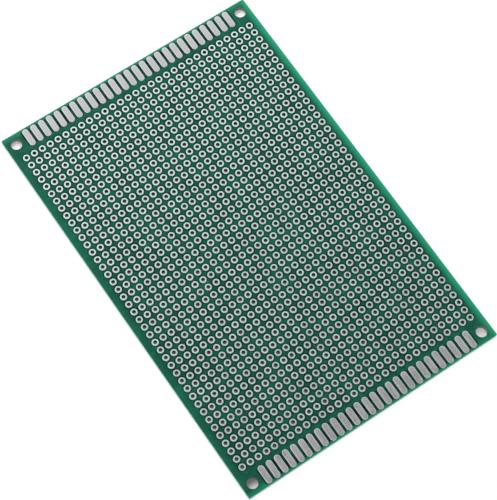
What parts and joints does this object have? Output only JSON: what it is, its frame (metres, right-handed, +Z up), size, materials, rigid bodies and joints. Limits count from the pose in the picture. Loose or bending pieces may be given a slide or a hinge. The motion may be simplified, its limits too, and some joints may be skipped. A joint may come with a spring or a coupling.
{
  "type": "prototype board",
  "caption": "Flat green double-sided prototype board: a square grid of tinned plated lead holes, tinned edge contacts along both short ends and a mounting hole in each corner.",
  "frame": {"origin": "centre of the underside", "axes": "+X along the short side, +Y along the long side towards the back row of contacts, +Z up out of the top face"},
  "size_m": [0.08, 0.12, 0.0016],
  "materials": {
    "laminate": "sawn glass-epoxy, pale yellow-green and slightly translucent",
    "solder_mask": "satin-gloss green solder mask",
    "tin": "hot-air levelled tin, satin silver"
  },
  "bodies": {
    "root": {"hole_plating": "tin", "laminate": "laminate", "solder_mask_top": "solder_mask", "solder_mask_bottom": "solder_mask", "edge_contacts_top_front": "tin", "edge_contacts_top_back": "tin", "edge_contacts_bottom_front": "tin", "edge_contacts_bottom_back": "tin"}
  },
  "joints": []
}
